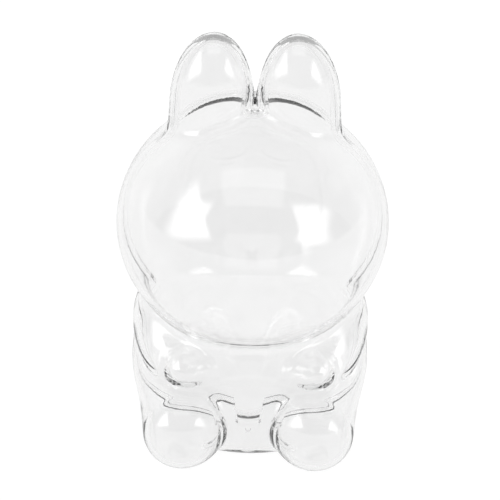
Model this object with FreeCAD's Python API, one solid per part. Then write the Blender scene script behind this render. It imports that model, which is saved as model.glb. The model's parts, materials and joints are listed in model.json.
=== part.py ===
"""A clear plastic box in the shape of a seated rabbit, moulded as a front and a back shell.

The shells meet on the upright plane y = 0 and pull apart along Y. The rabbit faces -Y and
stands on the plane z = 0. The front shell carries a thin lip all round the inside of its rim,
which plugs into the back shell. A flat tab on the floor of the back shell lies in a
notch in the floor of the front shell, just behind a low rib. All sizes are in millimetres.
"""

import FreeCAD
import Part
import math
import os

from FreeCAD import Vector

# The moulded wall and the joint between the shells
WALL = 1.4
LIP = 1.3  # how far the lip reaches inside the wall
LIP_DEPTH = 0.9
LIP_ROOT = 1.2  # how far the lip runs back inside the front shell
LIP_BITE = 0.25  # how far its root sinks into the wall
LIP_GAP = 0.5  # beside the lip at the seam; the back shell closes in on it further back
SEAM_GAP = 0.05  # between the two rims

# Head and torso, each widest at the height of its centre
HEAD_CENTRE_Z = 60.0
HEAD_HALF_WIDTH = 35.6
HEAD_HALF_DEPTH = 35.0
HEAD_UP = 33.4
HEAD_DOWN = 33.0
TORSO_CENTRE_Z = 26.0
TORSO_HALF_WIDTH = 31.0
TORSO_HALF_DEPTH = 19.5
TORSO_UP = 22.0
TORSO_DOWN = 30.0  # trimmed flat by the standing plane

# Belly, a fuller part of the body between the arms and down between the legs
BELLY_CENTRE = Vector(0.0, -5.0, 26.0)
BELLY_HALF_WIDTH = 18.0
BELLY_HALF_DEPTH = 18.6
BELLY_UP = 18.0
BELLY_DOWN = 46.0

# Ears, leaning together at the top
EAR_CENTRE = Vector(11.7, 0.0, 86.0)
EAR_HALF_WIDTH = 10.5
EAR_HALF_DEPTH = 9.0
EAR_STRAIGHT = 8.8
EAR_TIP = 18.4
EAR_ROOT = 12.0
EAR_LEAN = 3.3  # degrees

# Legs, stretched out to the front with the feet turned in and down a little
LEG_CENTRE = Vector(20.2, 0.0, 13.8)
LEG_HALF_WIDTH = 10.4
LEG_HALF_HEIGHT = 11.2
LEG_STRAIGHT = 26.0
LEG_TOE = 8.6
LEG_ROOT = 12.0
LEG_TURN = 6.5  # degrees
LEG_DIP = 5.5  # degrees

# Arms, down and forward from the shoulder, each with a small round paw
ARM_CENTRE = Vector(21.4, -6.5, 30.0)
ARM_TOWARD_PAW = Vector(-0.26, -0.74, -0.62)
ARM_HALF_WIDTH = 9.4
ARM_HALF_LENGTH = 16.0
PAW_CENTRE = Vector(16.8, -18.5, 26.0)
PAW_RADIUS = 5.6

# Tab and notch in the floor, the staple-shaped rib before the notch, and the moulding gate mark
TAB_WIDTH = 10.6
TAB_REACH = 3.8
TAB_GAP = 0.1
RIB_WIDTH = 11.2
RIB_THICKNESS = 2.1
RIB_REACH = 4.3  # how far its two ends run forward
RIB_END_WIDTH = 0.9
RIB_HEIGHT = 0.8
GATE_Y = -9.6
GATE_RADIUS = 1.3
GATE_HEIGHT = 0.3

BIG = 200.0


def quarter_ellipse(radius, height):
    """The arc from the pole (0, 0, height) to the equator (radius, 0, 0), either way round."""
    rise = abs(height)
    if rise > radius:
        curve = Part.Ellipse(Vector(0, 0, rise), Vector(radius, 0, 0), Vector(0, 0, 0))
    else:
        curve = Part.Ellipse(Vector(radius, 0, 0), Vector(0, 0, rise), Vector(0, 0, 0))
    ends = sorted((curve.parameter(Vector(0, 0, height)), curve.parameter(Vector(radius, 0, 0))))
    if ends[1] - ends[0] > math.pi:
        ends = [ends[1], ends[0] + 2 * math.pi]
    return curve.toShape(*ends)


def egg(half_width, half_depth, up, down, straight=0.0):
    """A round body along Z: a cap below z = 0, a straight middle above it, then a cap on top."""
    top = quarter_ellipse(half_width, up)
    top.translate(Vector(0, 0, straight))
    edges = [top, quarter_ellipse(half_width, -down)]
    edges.append(Part.makeLine(Vector(0, 0, -down), Vector(0, 0, up + straight)))
    if straight:
        edges.append(Part.makeLine(Vector(half_width, 0, 0), Vector(half_width, 0, straight)))
    face = Part.Face(Part.Wire(Part.__sortEdges__(edges)))
    squash = FreeCAD.Matrix()
    squash.scale(1, half_depth / half_width, 1)
    return face.revolve(Vector(0, 0, 0), Vector(0, 0, 1), 360).transformGeometry(squash)


def placed(shape, centre, direction):
    """The shape with its origin at centre and its Z axis along direction."""
    turned = shape.copy()
    turned.Placement = FreeCAD.Placement(centre, FreeCAD.Rotation(Vector(0, 0, 1), direction))
    return turned


def on_side(side, point):
    return Vector(side * point.x, point.y, point.z)


def head(inset):
    body = egg(
        HEAD_HALF_WIDTH - inset, HEAD_HALF_DEPTH - inset, HEAD_UP - inset, HEAD_DOWN - inset
    )
    return placed(body, Vector(0, 0, HEAD_CENTRE_Z), Vector(0, 0, 1))


def torso(inset):
    body = egg(
        TORSO_HALF_WIDTH - inset, TORSO_HALF_DEPTH - inset, TORSO_UP - inset, TORSO_DOWN - inset
    )
    return placed(body, Vector(0, 0, TORSO_CENTRE_Z), Vector(0, 0, 1))


def belly(inset):
    body = egg(BELLY_HALF_WIDTH - inset, BELLY_HALF_DEPTH - inset, BELLY_UP - inset, BELLY_DOWN)
    return placed(body, BELLY_CENTRE, Vector(0, 0, 1))


def ear(side, inset):
    body = egg(
        EAR_HALF_WIDTH - inset, EAR_HALF_DEPTH - inset, EAR_TIP - inset, EAR_ROOT, EAR_STRAIGHT
    )
    lean = math.radians(EAR_LEAN)
    return placed(body, on_side(side, EAR_CENTRE), Vector(-side * math.sin(lean), 0, math.cos(lean)))


def leg(side, inset):
    body = egg(
        LEG_HALF_WIDTH - inset, LEG_HALF_HEIGHT - inset, LEG_TOE - inset, LEG_ROOT, LEG_STRAIGHT
    )
    turn = math.radians(LEG_TURN)
    dip = math.radians(LEG_DIP)
    toward_toe = Vector(-side * math.sin(turn), -math.cos(turn), -math.tan(dip))
    return placed(body, on_side(side, LEG_CENTRE), toward_toe)


def arm(side, inset):
    width = ARM_HALF_WIDTH - inset
    length = ARM_HALF_LENGTH - inset
    body = egg(width, width, length, length)
    return placed(body, on_side(side, ARM_CENTRE), on_side(side, ARM_TOWARD_PAW))


def paw(side, inset):
    return Part.makeSphere(PAW_RADIUS - inset, on_side(side, PAW_CENTRE))


def half_space(y_low, y_high, z_low):
    corner = Vector(-BIG, y_low, z_low)
    return Part.makeBox(2 * BIG, y_high - y_low, 2 * BIG, corner)


def figure(inset):
    """The whole rabbit, solid, with every surface moved in by inset and the base trimmed flat."""
    limbs = []
    for side in (-1, 1):
        limbs += [ear(side, inset), arm(side, inset), paw(side, inset), leg(side, inset)]
    whole = head(inset).fuse([torso(inset), belly(inset)] + limbs)
    return whole.common(half_space(-BIG, BIG, inset))


def seam_plug(inset, y_low, y_high):
    """A straight plug with the outline that the rabbit has on the seam plane."""
    outline = figure(inset).slice(Vector(0, 1, 0), 0.0)[0]
    plug = Part.Face(outline).extrude(Vector(0, y_high - y_low, 0))
    plug.translate(Vector(0, y_low, 0))
    return plug


def floor_strip(width, thickness, y_low, y_high):
    return Part.makeBox(width, y_high - y_low, thickness, Vector(-width / 2, y_low, 0))


def rib():
    """A low bar across the floor just before the notch, with both of its ends turned forward."""
    back = -TAB_REACH - TAB_GAP
    bar = floor_strip(RIB_WIDTH, WALL + RIB_HEIGHT, back - RIB_REACH, back)
    inner_width = RIB_WIDTH - 2 * RIB_END_WIDTH
    hollow = floor_strip(inner_width, BIG, back - BIG, back - RIB_THICKNESS)
    return bar.cut(hollow)


def front_shell(outer, inner):
    half = outer.common(half_space(-BIG, 0.0, -BIG)).cut(inner)
    root = seam_plug(WALL - LIP_BITE, -LIP_ROOT, 0.0)
    lip = root.fuse(seam_plug(WALL + LIP_GAP, 0.0, LIP_DEPTH))
    lip = lip.cut(seam_plug(WALL + LIP, -LIP_ROOT - 1.0, LIP_DEPTH + 1.0))
    gate = Part.makeCylinder(GATE_RADIUS, WALL + GATE_HEIGHT, Vector(0, GATE_Y, 0))
    notch_width = TAB_WIDTH + 2 * TAB_GAP
    notch = floor_strip(notch_width, WALL + LIP, -TAB_REACH - TAB_GAP, LIP_DEPTH + 1.0)
    return half.fuse([lip, gate, rib()]).cut(notch)


def back_shell(outer, inner):
    half = outer.common(half_space(SEAM_GAP, BIG, -BIG)).cut(inner)
    tab = floor_strip(TAB_WIDTH, WALL, -TAB_REACH, LIP_DEPTH + 1.0)
    return half.fuse(tab)


def main():
    os.makedirs("parts", exist_ok=True)
    outer = figure(0.0)
    inner = figure(WALL)
    front_shell(outer, inner).exportStep("parts/front_shell.step")
    back_shell(outer, inner).exportStep("parts/back_shell.step")


main()
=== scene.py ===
"""A clear plastic box in the shape of a seated rabbit: a front and a back shell on one seam."""

import json
import math

import bmesh
import bpy
import numpy as np
from mathutils import Matrix, Vector

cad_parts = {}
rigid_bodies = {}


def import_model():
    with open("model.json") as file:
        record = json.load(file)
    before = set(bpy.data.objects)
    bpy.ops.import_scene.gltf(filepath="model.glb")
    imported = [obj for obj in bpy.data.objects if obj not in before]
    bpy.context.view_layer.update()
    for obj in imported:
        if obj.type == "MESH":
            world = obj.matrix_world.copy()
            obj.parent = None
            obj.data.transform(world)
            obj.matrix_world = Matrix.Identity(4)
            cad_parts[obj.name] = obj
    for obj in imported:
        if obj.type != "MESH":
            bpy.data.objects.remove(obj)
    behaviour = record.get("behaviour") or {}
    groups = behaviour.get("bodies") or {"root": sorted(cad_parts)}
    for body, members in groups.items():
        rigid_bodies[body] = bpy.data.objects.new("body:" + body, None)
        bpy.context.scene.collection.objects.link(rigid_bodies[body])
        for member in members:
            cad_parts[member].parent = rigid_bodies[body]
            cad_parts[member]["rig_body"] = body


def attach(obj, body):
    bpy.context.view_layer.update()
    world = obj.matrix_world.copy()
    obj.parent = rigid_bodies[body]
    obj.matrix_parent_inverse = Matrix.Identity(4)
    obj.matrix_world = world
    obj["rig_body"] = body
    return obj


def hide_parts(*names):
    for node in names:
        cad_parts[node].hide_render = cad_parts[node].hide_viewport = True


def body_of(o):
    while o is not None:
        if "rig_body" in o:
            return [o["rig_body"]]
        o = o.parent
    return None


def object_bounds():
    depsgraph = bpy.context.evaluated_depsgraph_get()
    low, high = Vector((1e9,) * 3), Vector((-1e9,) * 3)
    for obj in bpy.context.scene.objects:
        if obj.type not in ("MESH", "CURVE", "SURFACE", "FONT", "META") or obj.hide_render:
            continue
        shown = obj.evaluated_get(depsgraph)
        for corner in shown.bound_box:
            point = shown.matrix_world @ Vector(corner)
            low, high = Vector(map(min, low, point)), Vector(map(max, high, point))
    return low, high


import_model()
cad_low, cad_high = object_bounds()

# ---------------------------------------------------------------------------------------------
# The moulded form. Both shells are cut from one hollow rabbit of clear polystyrene, so the form
# is set out first: an egg-like body for the head, torso, ears, legs and arms, run together with
# small fillets as a mould maker's tool would leave them. Sizes are in millimetres.

MM = 0.001
height = cad_high.z / MM
head_half_width = cad_high.x / MM
head_half_depth = -cad_low.y / MM
WALL = 1.4
HEAD_CENTRE_Z = 60.0
HEAD_UP, HEAD_DOWN = 33.4, 33.0
TORSO_CENTRE_Z = 26.0
TORSO_HALF_WIDTH, TORSO_HALF_DEPTH = 31.0, 19.5
TORSO_UP, TORSO_DOWN = 22.0, 30.0
BELLY_CENTRE = (0.0, -5.0, 26.0)
BELLY_HALF_WIDTH, BELLY_HALF_DEPTH, BELLY_UP, BELLY_DOWN = 18.0, 18.6, 18.0, 46.0
EAR_CENTRE = (11.7, 0.0, 86.0)
EAR_HALF_WIDTH, EAR_HALF_DEPTH = 10.5, 9.0
EAR_TIP, EAR_ROOT = 18.4, 12.0
EAR_LEAN = math.radians(3.3)
ear_straight = (height - EAR_CENTRE[2]) / math.cos(EAR_LEAN) - EAR_TIP
LEG_CENTRE = (20.2, 0.0, 13.8)
LEG_HALF_WIDTH, LEG_HALF_HEIGHT = 10.4, 11.2
LEG_STRAIGHT, LEG_TOE, LEG_ROOT = 26.0, 8.6, 12.0
LEG_TURN, LEG_DIP = math.radians(6.5), math.radians(5.5)
ARM_CENTRE = (21.4, -6.5, 30.0)
ARM_TOWARD_PAW = (-0.26, -0.74, -0.62)
ARM_HALF_WIDTH, ARM_HALF_LENGTH = 9.4, 16.0
PAW_CENTRE = (16.8, -18.5, 26.0)
PAW_RADIUS = 5.6
NECK_FILLET, EAR_FILLET, LEG_FILLET, BELLY_FILLET = 5.0, 4.0, 12.0, 15.0
ARM_FILLET, PAW_FILLET = 3.0, 3.0
BASE_ROUND = 2.5
GRID = 1.0  # spacing of the grid that the surface is first found on
GRID_MARGIN = 2.5  # how far the grid runs past the form, in millimetres
RELAX_STEPS = 3
FLATTEST = 0.05  # least squared slope that a step onto the surface is worked out with


def egg_field(points, centre, along, across, sizes, straight=0.0):
    """Roughly the distance in millimetres outside an egg whose length runs along one direction."""
    half_width, half_depth, up, down = sizes
    along = np.array(along) / np.linalg.norm(along)
    across = np.array(across) - along * np.dot(along, across)
    across = across / np.linalg.norm(across)
    local = points - np.array(centre)
    rise = local @ along
    end = np.where(rise > straight, rise - straight, np.minimum(rise, 0.0))
    cap = np.where(rise > straight, up, down)
    wide = local @ across
    deep = local @ np.cross(along, across)
    level = np.sqrt((wide / half_width) ** 2 + (deep / half_depth) ** 2 + (end / cap) ** 2)
    slope = np.sqrt(
        (wide / half_width**2) ** 2 + (deep / half_depth**2) ** 2 + (end / cap**2) ** 2
    )
    return level * (level - 1.0) / np.maximum(slope, 1e-6)


def run_together(first, second, fillet):
    """The union of two bodies, with a fillet where they meet."""
    near = np.maximum(fillet - np.abs(first - second), 0.0) / fillet
    return np.minimum(first, second) - near**3 * fillet / 6.0


def rabbit_field(points, inset):
    """Below zero inside the rabbit, with each surface moved in by inset."""

    def less(*sizes):
        return [size - inset for size in sizes]

    head = egg_field(
        points, (0, 0, HEAD_CENTRE_Z), (0, 0, 1), (1, 0, 0),
        less(head_half_width, head_half_depth, HEAD_UP, HEAD_DOWN),
    )
    form = egg_field(
        points, (0, 0, TORSO_CENTRE_Z), (0, 0, 1), (1, 0, 0),
        less(TORSO_HALF_WIDTH, TORSO_HALF_DEPTH, TORSO_UP, TORSO_DOWN),
    )
    for side in (-1, 1):
        toward_toe = (-side * math.sin(LEG_TURN), -math.cos(LEG_TURN), -math.tan(LEG_DIP))
        leg = egg_field(
            points, (side * LEG_CENTRE[0], *LEG_CENTRE[1:]), toward_toe, (1, 0, 0),
            [*less(LEG_HALF_WIDTH, LEG_HALF_HEIGHT, LEG_TOE), LEG_ROOT], LEG_STRAIGHT,
        )
        form = run_together(form, leg, LEG_FILLET)
    for side in (-1, 1):
        toward_paw = (side * ARM_TOWARD_PAW[0], *ARM_TOWARD_PAW[1:])
        arm = egg_field(
            points, (side * ARM_CENTRE[0], *ARM_CENTRE[1:]), toward_paw, (1, 0, 0),
            less(ARM_HALF_WIDTH, ARM_HALF_WIDTH, ARM_HALF_LENGTH, ARM_HALF_LENGTH),
        )
        to_paw = points - np.array((side * PAW_CENTRE[0], *PAW_CENTRE[1:]))
        paw = np.sqrt((to_paw**2).sum(-1)) - (PAW_RADIUS - inset)
        form = run_together(form, run_together(arm, paw, PAW_FILLET), ARM_FILLET)
    belly = egg_field(
        points, BELLY_CENTRE, (0, 0, 1), (1, 0, 0),
        [*less(BELLY_HALF_WIDTH, BELLY_HALF_DEPTH, BELLY_UP), BELLY_DOWN],
    )
    form = run_together(form, belly, BELLY_FILLET)
    form = run_together(form, head, NECK_FILLET)
    for side in (-1, 1):
        lean = (-side * math.sin(EAR_LEAN), 0, math.cos(EAR_LEAN))
        ear = egg_field(
            points, (side * EAR_CENTRE[0], *EAR_CENTRE[1:]), lean, (1, 0, 0),
            [*less(EAR_HALF_WIDTH, EAR_HALF_DEPTH, EAR_TIP), EAR_ROOT], ear_straight,
        )
        form = run_together(form, ear, EAR_FILLET)
    floor = inset - points[..., 2]
    return -run_together(-form, -floor, BASE_ROUND)


def gradient(points, inset, reach=0.02):
    """The slope of the field at each point, from a short step either way."""
    steps = np.eye(3) * reach
    return np.stack(
        [rabbit_field(points + s, inset) - rabbit_field(points - s, inset) for s in steps], -1
    ) / (2 * reach)


def onto_surface(points, inset, rounds=3):
    """The points moved down or up the slope of the field until they lie on the surface."""
    for _ in range(rounds):
        slope = gradient(points, inset)
        steep = np.maximum((slope**2).sum(-1), FLATTEST)
        points = points - slope * (rabbit_field(points, inset) / steep)[:, None]
    return points


def rabbit_surface(inset):
    """Vertices and quads of the closed surface, found on a grid and then moved exactly onto it."""
    low = np.floor(np.array(cad_low) / MM - GRID_MARGIN)
    count = (np.ceil(np.array(cad_high) / MM + GRID_MARGIN) - low) / GRID
    shape = count.astype(int) + 1
    corners = np.stack(np.meshgrid(*[np.arange(n) for n in shape], indexing="ij"), -1)
    value = rabbit_field((low + corners * GRID).reshape(-1, 3), inset).reshape(shape)
    inside = value < 0
    total = np.zeros((*(shape - 1), 3))
    hits = np.zeros(shape - 1)
    crossings = []
    for axis in range(3):
        first = [slice(None)] * 3
        second = [slice(None)] * 3
        first[axis], second[axis] = slice(None, -1), slice(1, None)
        first, second = tuple(first), tuple(second)
        found = np.argwhere(inside[first] != inside[second])
        a = value[first][tuple(found.T)]
        b = value[second][tuple(found.T)]
        place = found.astype(float)
        place[:, axis] += a / (a - b)
        others = [k for k in range(3) if k != axis]
        for i in (0, 1):
            for j in (0, 1):
                cell = found.copy()
                cell[:, others[0]] -= i
                cell[:, others[1]] -= j
                np.add.at(total, tuple(cell.T), place)
                np.add.at(hits, tuple(cell.T), 1)
        crossings.append((found, others, a < 0))
    used = hits > 0
    number = np.full(used.shape, -1)
    number[used] = np.arange(used.sum())
    points = low + total[used] / hits[used][:, None] * GRID
    quads = []
    for axis, (found, others, leaving) in enumerate(crossings):
        ring = []
        for i, j in ((1, 1), (0, 1), (0, 0), (1, 0)):
            cell = found.copy()
            cell[:, others[0]] -= i
            cell[:, others[1]] -= j
            ring.append(number[tuple(cell.T)])
        ring = np.stack(ring, -1)
        turned = leaving != (axis == 1)
        quads.append(np.where(turned[:, None], ring, ring[:, ::-1]))
    quads = np.concatenate(quads)
    points = onto_surface(points, inset)
    ends = np.concatenate([quads[:, [k, (k + 1) % 4]] for k in range(4)])
    for _ in range(RELAX_STEPS):
        total = np.zeros_like(points)
        np.add.at(total, ends[:, 0], points[ends[:, 1]])
        np.add.at(total, ends[:, 1], points[ends[:, 0]])
        near = np.bincount(ends.ravel(), minlength=len(points))
        points = onto_surface(total / near[:, None], inset, rounds=2)
    return points, quads


ON_PLANE, MERGE = 1e-7, 5e-5  # in metres


def in_scene(name, data):
    """A new object that holds the data, linked into the scene."""
    made = bpy.data.objects.new(name, data)
    bpy.context.scene.collection.objects.link(made)
    return made


def mesh_object(name, points, faces):
    mesh = bpy.data.meshes.new(name)
    mesh.from_pydata((points * MM).tolist(), [], faces.tolist())
    return in_scene(name, mesh)


def edited_object(name, bm):
    """A new object from a mesh under edit, which is then let go."""
    mesh = bpy.data.meshes.new(name)
    bm.to_mesh(mesh)
    bm.free()
    return in_scene(name, mesh)


def block(name, low, high):
    """A box from low to high, in millimetres, used as a cutting tool."""
    bm = bmesh.new()
    bmesh.ops.create_cube(bm, size=1.0)
    size = Vector(high) - Vector(low)
    bmesh.ops.scale(bm, vec=size, verts=bm.verts)
    bmesh.ops.translate(bm, vec=(Vector(low) + Vector(high)) / 2, verts=bm.verts)
    bmesh.ops.scale(bm, vec=(MM, MM, MM), verts=bm.verts)
    return edited_object(name, bm)


def seam_plug(name, surface, y_low, y_high):
    """A straight plug with the outline that the surface has on the seam plane."""
    bm = bmesh.new()
    bm.from_mesh(surface.data)
    bmesh.ops.bisect_plane(
        bm, geom=[*bm.verts, *bm.edges, *bm.faces], plane_co=(0, 0, 0), plane_no=(0, 1, 0),
        dist=ON_PLANE, clear_inner=True, clear_outer=True,
    )
    bmesh.ops.remove_doubles(bm, verts=bm.verts, dist=MERGE)
    outline = bmesh.ops.contextual_create(bm, geom=bm.edges[:])["faces"]
    bmesh.ops.translate(bm, vec=(0, y_low * MM, 0), verts=bm.verts)
    grown = bmesh.ops.extrude_face_region(bm, geom=outline, use_keep_orig=True)["geom"]
    far = [v for v in grown if isinstance(v, bmesh.types.BMVert)]
    bmesh.ops.translate(bm, vec=(0, (y_high - y_low) * MM, 0), verts=far)
    bmesh.ops.recalc_face_normals(bm, faces=bm.faces)
    return edited_object(name, bm)


def work(target, operation, tool):
    """Cuts, joins or trims the target with the tool for good."""
    step = target.modifiers.new(operation, "BOOLEAN")
    step.operation = operation
    step.solver = "MANIFOLD"
    step.object = tool
    bpy.context.view_layer.update()
    evaluated = target.evaluated_get(bpy.context.evaluated_depsgraph_get())
    mesh = bpy.data.meshes.new_from_object(evaluated)
    target.modifiers.clear()
    target.data = mesh
    return target


# The seam: the lip on the front shell, and the gaps round it
LIP = 1.3  # how far the lip reaches inside the wall
LIP_DEPTH = 0.9
LIP_ROOT = 1.2  # how far the lip runs back inside the front shell
LIP_BITE = 0.25  # how far its root sinks into the wall
LIP_GAP = 0.5  # beside the lip
SEAM_GAP = 0.05  # between the two rims
FAR = 100.0
PAST = 1.0  # how far the cutting tools and the tab's root run past the lip and the floor

outside = rabbit_surface(0.0)
inside = mesh_object("inside", *rabbit_surface(WALL))
root_face = mesh_object("root_face", *rabbit_surface(WALL - LIP_BITE))
lip_face = mesh_object("lip_face", *rabbit_surface(WALL + LIP_GAP))
bore_face = mesh_object("bore_face", *rabbit_surface(WALL + LIP))

# ---------------------------------------------------------------------------------------------
# The front shell: face, front of the ears, arms and legs in one moulding about 1.4 mm thick.
# A thin lip stands out of its rim on the inside, a notch in its floor takes the back shell's tab,
# and a low rib with its ends turned forward and the round mark of the moulding gate lie before it.

TAB_WIDTH = 10.6
TAB_REACH = 3.8
TAB_GAP = 0.1
RIB_WIDTH, RIB_END_WIDTH = 11.2, 0.9
RIB_THICKNESS, RIB_REACH, RIB_HEIGHT = 2.1, 4.3, 0.8
GATE_Y = -9.6
GATE_RADIUS = 1.3
GATE_TAPER = 0.85
GATE_SIDES = 40
GATE_HEIGHT = 0.3

front_shell = mesh_object("clear_front_shell", *outside)
work(front_shell, "DIFFERENCE", block("behind", (-FAR, 0.0, -FAR), (FAR, FAR, 2 * FAR)))
work(front_shell, "DIFFERENCE", inside)
lip = seam_plug("lip", lip_face, -LIP_ROOT, LIP_DEPTH)
work(lip, "UNION", seam_plug("lip_root", root_face, -LIP_ROOT, 0.0))
work(lip, "DIFFERENCE", seam_plug("bore", bore_face, -LIP_ROOT - PAST, LIP_DEPTH + PAST))
work(front_shell, "UNION", lip)
gate_bm = bmesh.new()
bmesh.ops.create_cone(
    gate_bm, cap_ends=True, segments=GATE_SIDES, radius1=GATE_RADIUS * MM,
    radius2=GATE_RADIUS * GATE_TAPER * MM, depth=2 * GATE_HEIGHT * MM,
    matrix=Matrix.Translation((0, GATE_Y * MM, WALL * MM)),
)
work(front_shell, "UNION", edited_object("gate", gate_bm))
notch_end = -TAB_REACH - TAB_GAP
rib_top = WALL + RIB_HEIGHT
rib_half = RIB_WIDTH / 2
rib = block("rib", (-rib_half, notch_end - RIB_REACH, WALL / 2), (rib_half, notch_end, rib_top))
rib_mouth = block(
    "rib_mouth", (RIB_END_WIDTH - rib_half, -FAR, 0.0),
    (rib_half - RIB_END_WIDTH, notch_end - RIB_THICKNESS, FAR),
)
work(front_shell, "UNION", work(rib, "DIFFERENCE", rib_mouth))
notch_half = TAB_WIDTH / 2 + TAB_GAP
notch = block(
    "notch", (-notch_half, notch_end, -PAST), (notch_half, LIP_DEPTH + PAST, WALL + LIP)
)
work(front_shell, "DIFFERENCE", notch)
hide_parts("front_shell")
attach(front_shell, "front_shell")

# ---------------------------------------------------------------------------------------------
# The back shell: back of the head, ears and body, moulded to the same wall. The lip reaches
# loosely into it, and a flat tab runs forward from its floor into the notch.

back_shell = mesh_object("clear_back_shell", *outside)
work(back_shell, "DIFFERENCE", block("before", (-FAR, -FAR, -FAR), (FAR, SEAM_GAP, 2 * FAR)))
work(back_shell, "DIFFERENCE", inside)
tab = block("tab", (-TAB_WIDTH / 2, -TAB_REACH, 0.0), (TAB_WIDTH / 2, LIP_DEPTH + PAST, WALL))
work(back_shell, "UNION", tab)
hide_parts("back_shell")
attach(back_shell, "back_shell")

for tool in bpy.data.objects[:]:
    if tool.type == "MESH" and not body_of(tool):
        bpy.data.objects.remove(tool)

# ---------------------------------------------------------------------------------------------
# The plastic: clear, hard and glossy, with the faint ripple that flow leaves in a thin moulding,
# a fine grain and a slight, uneven haze from handling.


class Wire:
    """One output socket of a material, so that sums on it add the nodes that work them out."""

    def __init__(self, tree, socket):
        self.tree = tree
        self.socket = socket

    def node(self, kind, settings=None, **values):
        made = self.tree.nodes.new(kind)
        for name, value in (settings or {}).items():
            setattr(made, name, value)
        for name, value in values.items():
            socket = made.inputs[int(name[1:]) if name[1:].isdigit() else name.replace("_", " ")]
            if isinstance(value, Wire):
                self.tree.links.new(value.socket, socket)
            else:
                socket.default_value = value
        return made

    def out(self, made, name=0):
        return Wire(self.tree, made.outputs[name])

    def sum(self, operation, first, second):
        return self.out(self.node("ShaderNodeMath", {"operation": operation}, _0=first, _1=second))

    def __add__(self, other):
        return self.sum("ADD", self, other)

    def __sub__(self, other):
        return self.sum("SUBTRACT", self, other)

    def __mul__(self, other):
        return self.sum("MULTIPLY", self, other)

    def __rsub__(self, other):
        return self.sum("SUBTRACT", other, self)

    def most(self, other):
        return self.sum("MAXIMUM", self, other)

    def rising(self, start, end):
        """0 before start, 1 after end, and smooth between them."""
        return self.out(
            self.node(
                "ShaderNodeMapRange", {"interpolation_type": "SMOOTHSTEP"},
                _0=self, _1=start, _2=end,
            )
        )

    __radd__ = __add__
    __rmul__ = __mul__


def new_material(name):
    material = bpy.data.materials.new(name)
    material.use_nodes = True
    tree = material.node_tree
    tree.nodes.clear()
    return material, tree, Wire(tree, None)


CLEAR = (1.0, 1.0, 1.0, 1)
HAZE_SHADE = (0.06, 0.06, 0.062, 1)
RIPPLE_SCALE, HAZE_SCALE, GRAIN_SCALE = 55.0, 160.0, 2600.0
HAZE = 0.05
POLISH = 0.004  # roughness where there is no haze
GRAIN = 0.02  # depth of the fine grain beside that of the ripple
BUMP_STRENGTH, BUMP_DEPTH = 0.12, 0.0004
REFRACTION = 1.53
CREASE = math.radians(40)

clear_plastic, tree, wire = new_material("clear_plastic")
place = wire.out(wire.node("ShaderNodeTexCoord"), "Object")


def noise(scale, detail):
    return wire.out(wire.node("ShaderNodeTexNoise", Vector=place, Scale=scale, Detail=detail))


ripple = noise(RIPPLE_SCALE, 2.0)
haze = noise(HAZE_SCALE, 4.0)
grain = noise(GRAIN_SCALE, 2.0)
tint = wire.node(
    "ShaderNodeMix", {"data_type": "RGBA"}, _0=haze * HAZE, _6=CLEAR, _7=HAZE_SHADE
)
bump = wire.node(
    "ShaderNodeBump", Strength=BUMP_STRENGTH, Distance=BUMP_DEPTH, Height=ripple + grain * GRAIN
)
surface = wire.node(
    "ShaderNodeBsdfPrincipled", Base_Color=wire.out(tint, 2), Roughness=haze * HAZE + POLISH,
    IOR=REFRACTION, Transmission_Weight=1.0, Normal=wire.out(bump),
)
wire.node("ShaderNodeOutputMaterial", Surface=wire.out(surface))

for shell in (front_shell, back_shell):
    shell.data.materials.clear()
    shell.data.materials.append(clear_plastic)
    for face in shell.data.polygons:
        face.use_smooth = True
        face.material_index = 0
    shell.data.set_sharp_from_angle(angle=CREASE)

# ---------------------------------------------------------------------------------------------
# The studio: a white floor under a white room, two tall softboxes and a light overhead.

FLOOR_SIZE = 6.0
FLOOR_DROP = 0.0002  # below the base, so that the two don't touch
FLOOR_GREY = (0.12, 0.12, 0.12, 1)
WHITE = (1, 1, 1, 1)
FLOOR_SEEN, FLOOR_BOUNCED = 0.96, 0.86
floor_bm = bmesh.new()
bmesh.ops.create_grid(floor_bm, x_segments=1, y_segments=1, size=FLOOR_SIZE)
bmesh.ops.translate(floor_bm, vec=(0, 0, -FLOOR_DROP), verts=floor_bm.verts)
floor = edited_object("floor", floor_bm)

floor_paint, tree, wire = new_material("floor_paint")
rays = wire.node("ShaderNodeLightPath")
camera_ray = wire.out(rays, "Is Camera Ray")
bounced = wire.out(rays, "Is Glossy Ray").most(wire.out(rays, "Is Transmission Ray"))
paint = wire.node("ShaderNodeBsdfDiffuse", Color=FLOOR_GREY)
glow = wire.node(
    "ShaderNodeEmission", Color=WHITE, Strength=camera_ray * FLOOR_SEEN + bounced * FLOOR_BOUNCED
)
both = wire.node("ShaderNodeAddShader", _0=wire.out(paint), _1=wire.out(glow))
wire.node("ShaderNodeOutputMaterial", Surface=wire.out(both))
floor.data.materials.append(floor_paint)

world = bpy.data.worlds.new("studio")
bpy.context.scene.world = world
world.use_nodes = True
world.node_tree.nodes.clear()
wire = Wire(world.node_tree, None)
rays = wire.node("ShaderNodeLightPath")
camera_ray = wire.out(rays, "Is Camera Ray")
heading = wire.out(wire.node("ShaderNodeTexCoord"), "Generated")
ROOM, SIDE_BOX, TOP_BOX, BACK_DROP = 0.42, 3.6, 0.6, 0.6
SOFT_OUTSIDE, SOFT_INSIDE = -0.3, 0.7  # how a soft edge lies across the outline of its panel
BEHIND, UP = (0, 1, 0), (0, 0, 1)
BACK_FADE = (-0.2, 0.6)
BACK_TOP, BACK_TOP_FADE = 0.9, 0.4


def along(direction):
    """How far the ray heads in a direction, from -1 to 1."""
    return wire.out(
        wire.node("ShaderNodeVectorMath", {"operation": "DOT_PRODUCT"}, _0=heading, _1=direction),
        "Value",
    )


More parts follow.
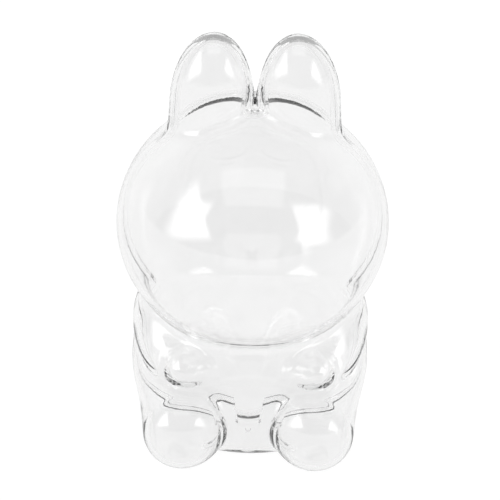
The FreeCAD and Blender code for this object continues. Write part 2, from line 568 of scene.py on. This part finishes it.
def softbox(corners, soft_edges):
    """A lit panel between directions that go round it, with the width of each soft edge."""
    lit = 1.0
    for start, end, soft in zip(corners, corners[1:] + corners[:1], soft_edges):
        edge = Vector(start).cross(Vector(end)).normalized()
        lit = along(tuple(edge)).rising(SOFT_OUTSIDE * soft, SOFT_INSIDE * soft) * lit
    return lit


left = softbox(
    [(-0.64, -0.12, 0.76), (-0.97, -0.25, -0.07), (-0.53, -0.82, 0.215)], [0.36, 0.22, 0.1]
)
right = softbox(
    [(0.72, -0.38, 0.58), (0.55, -0.81, 0.21), (0.93, -0.36, -0.09)], [0.1, 0.22, 0.32]
)
top = softbox(
    [(-0.4, -0.11, 0.9), (-0.4, -0.63, 0.68), (0.4, -0.63, 0.68), (0.4, -0.11, 0.9)],
    [0.07, 0.07, 0.07, 0.07],
)
back_drop = along(BEHIND).rising(*BACK_FADE) * (BACK_TOP - along(UP)).rising(0.0, BACK_TOP_FADE)
light = left * SIDE_BOX + right * SIDE_BOX + top * TOP_BOX + back_drop * BACK_DROP + ROOM
strength = camera_ray + light * (1 - camera_ray)
room = wire.node("ShaderNodeBackground", Color=WHITE, Strength=strength)
wire.node("ShaderNodeOutputWorld", Surface=wire.out(room))

# ---------------------------------------------------------------------------------------------
# The camera: a long lens, a little above the rabbit's face, tipped very slightly.

ELEVATION = math.radians(30.0)
DISTANCE = 0.520
LENS, SENSOR = 141.5, 36.0
ROLL = math.radians(1.2)
AIM = Vector((-0.00053, 0.00145, 0.0505))

camera_data = bpy.data.cameras.new("camera")
camera_data.lens = LENS
camera_data.sensor_width = SENSOR
camera = in_scene("camera", camera_data)
toward = Vector((0, -math.cos(ELEVATION), math.sin(ELEVATION)))
facing = toward.to_track_quat("Z", "Y").to_matrix() @ Matrix.Rotation(ROLL, 3, "Z")
camera.matrix_world = Matrix.LocRotScale(AIM + toward * DISTANCE, facing.to_quaternion(), None)
camera_data.clip_start, camera_data.clip_end = 0.01, 20.0
bpy.context.scene.camera = camera
bpy.context.scene.view_settings.view_transform = "Standard"

# Light goes round inside the clear walls many times before it leaves them.
bpy.context.scene.cycles.max_bounces = 32
bpy.context.scene.cycles.glossy_bounces = 24
bpy.context.scene.cycles.transmission_bounces = 32
